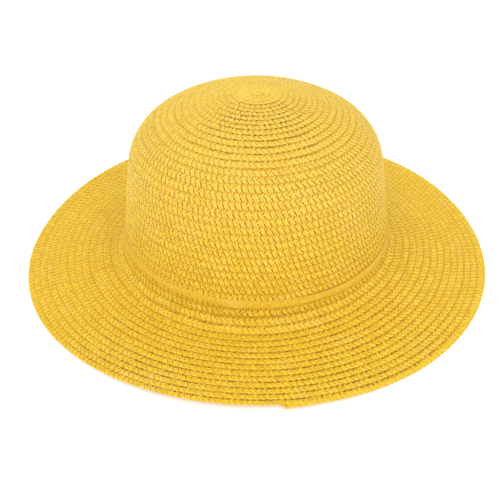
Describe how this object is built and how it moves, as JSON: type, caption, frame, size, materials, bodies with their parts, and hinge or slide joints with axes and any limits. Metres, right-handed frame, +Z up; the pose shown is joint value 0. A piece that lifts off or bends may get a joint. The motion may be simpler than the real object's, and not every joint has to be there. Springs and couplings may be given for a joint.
{
  "type": "wide-brim straw hat",
  "caption": "Wide-brim straw hat with a rounded hollow crown, a gently wavy brim and a narrow band round the foot of the crown.",
  "frame": {"origin": "on the table under the middle of the crown, at the centre of the hat's outline", "axes": "+Z up through the crown, -Y towards the front, where the braid ends at the rim, +X to the right of it"},
  "size_m": [0.32, 0.3219, 0.1225],
  "materials": {
    "straw": "matte sewn straw braid, warm yellow",
    "band": "smooth satin-like band, orange-yellow"
  },
  "bodies": {
    "root": {"crown": "straw", "brim": "straw", "braid_end": "straw", "band": "band"}
  },
  "joints": []
}
